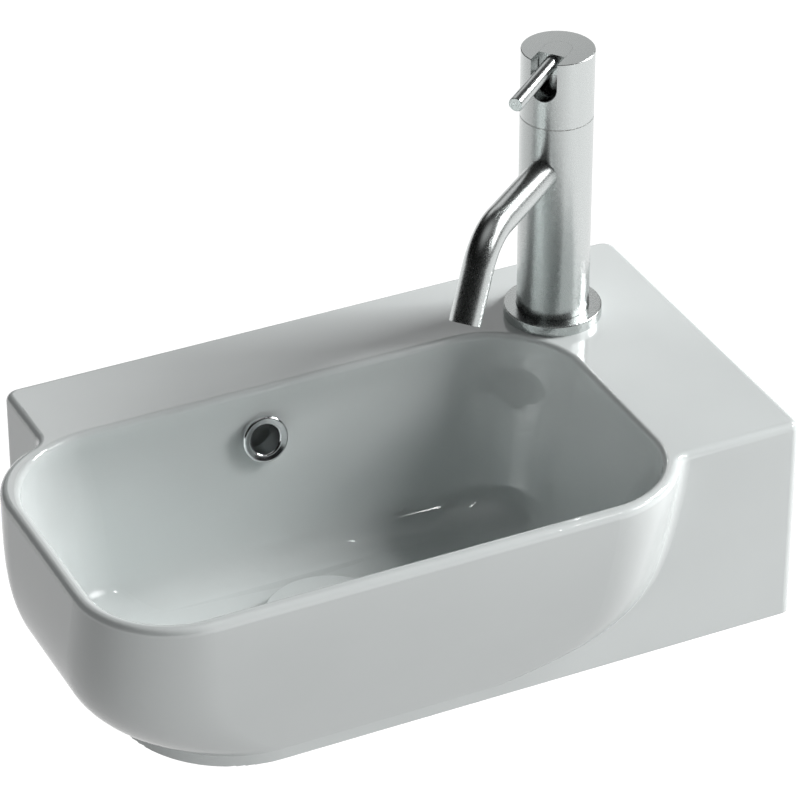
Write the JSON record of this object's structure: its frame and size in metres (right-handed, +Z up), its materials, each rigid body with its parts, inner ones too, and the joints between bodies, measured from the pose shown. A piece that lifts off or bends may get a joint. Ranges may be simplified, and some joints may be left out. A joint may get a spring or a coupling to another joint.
{
  "type": "hand basin",
  "caption": "Wall-hung glazed ceramic hand basin with a swelling bowl, a tap ledge, a lever mixer tap with a bent spout, an overflow and a push-open waste.",
  "frame": {"origin": "on the wall face, midway between the two wall fixing holes", "axes": "+X to the right along the wall as seen from the room, +Y into the wall, +Z up"},
  "size_m": [0.4, 0.2436, 0.3104],
  "materials": {
    "glazed_ceramic": "white gloss glaze",
    "satin_steel": "satin brushed",
    "polished_chrome": "polished",
    "plain_steel": "plain turned",
    "plated_brass": "nickel plated",
    "black_rubber": "matt",
    "white_plastic": "moulded"
  },
  "bodies": {
    "basin": {"basin_body": "glazed_ceramic", "tap_body": "satin_steel", "tap_flange": "satin_steel", "tap_spout": "satin_steel", "overflow_ring": "polished_chrome", "tap_stud": "plain_steel", "tap_clamp_plate": "plain_steel", "waste_body": "plated_brass", "waste_backnut": "plated_brass", "tap_stud_nut": "plated_brass", "cartridge_nut": "plated_brass", "overflow_sleeve": "black_rubber", "waste_flange_seal": "black_rubber", "waste_lower_seal": "black_rubber", "tap_flange_seal": "black_rubber", "tap_clamp_pad": "black_rubber", "cartridge_seal": "black_rubber", "waste_valve": "white_plastic", "cartridge_housing": "white_plastic", "head_glide_ring": "white_plastic", "tap_aerator": "white_plastic"},
    "head": {"head_shell": "satin_steel"},
    "lever": {"cartridge_spindle": "plain_steel", "lever_hub": "satin_steel", "lever_pin": "satin_steel", "hub_grub_screw": "plain_steel"},
    "cap": {"waste_cap": "glazed_ceramic", "waste_cap_holder": "white_plastic", "waste_cap_seal": "black_rubber", "waste_plunger": "plated_brass"}
  },
  "joints": [
    {"name": "head_turn", "type": "hinge", "parent": "basin", "child": "head", "pos_m": [0.1161, -0.0557, 0.19], "axis": [0, 0, 1], "range_deg": [-50, 50]},
    {"name": "lever_tilt", "type": "hinge", "parent": "head", "child": "lever", "pos_m": [0.1161, -0.0557, 0.1832], "axis": [-0.6225, 0.7826, 0], "range_deg": [-20, 0]},
    {"name": "cap_push", "type": "slide", "parent": "basin", "child": "cap", "axis": [0, 0, 1], "range_m": [-0.006, 0], "stiffness_N_per_m": 800, "springref_m": 0.003}
  ]
}
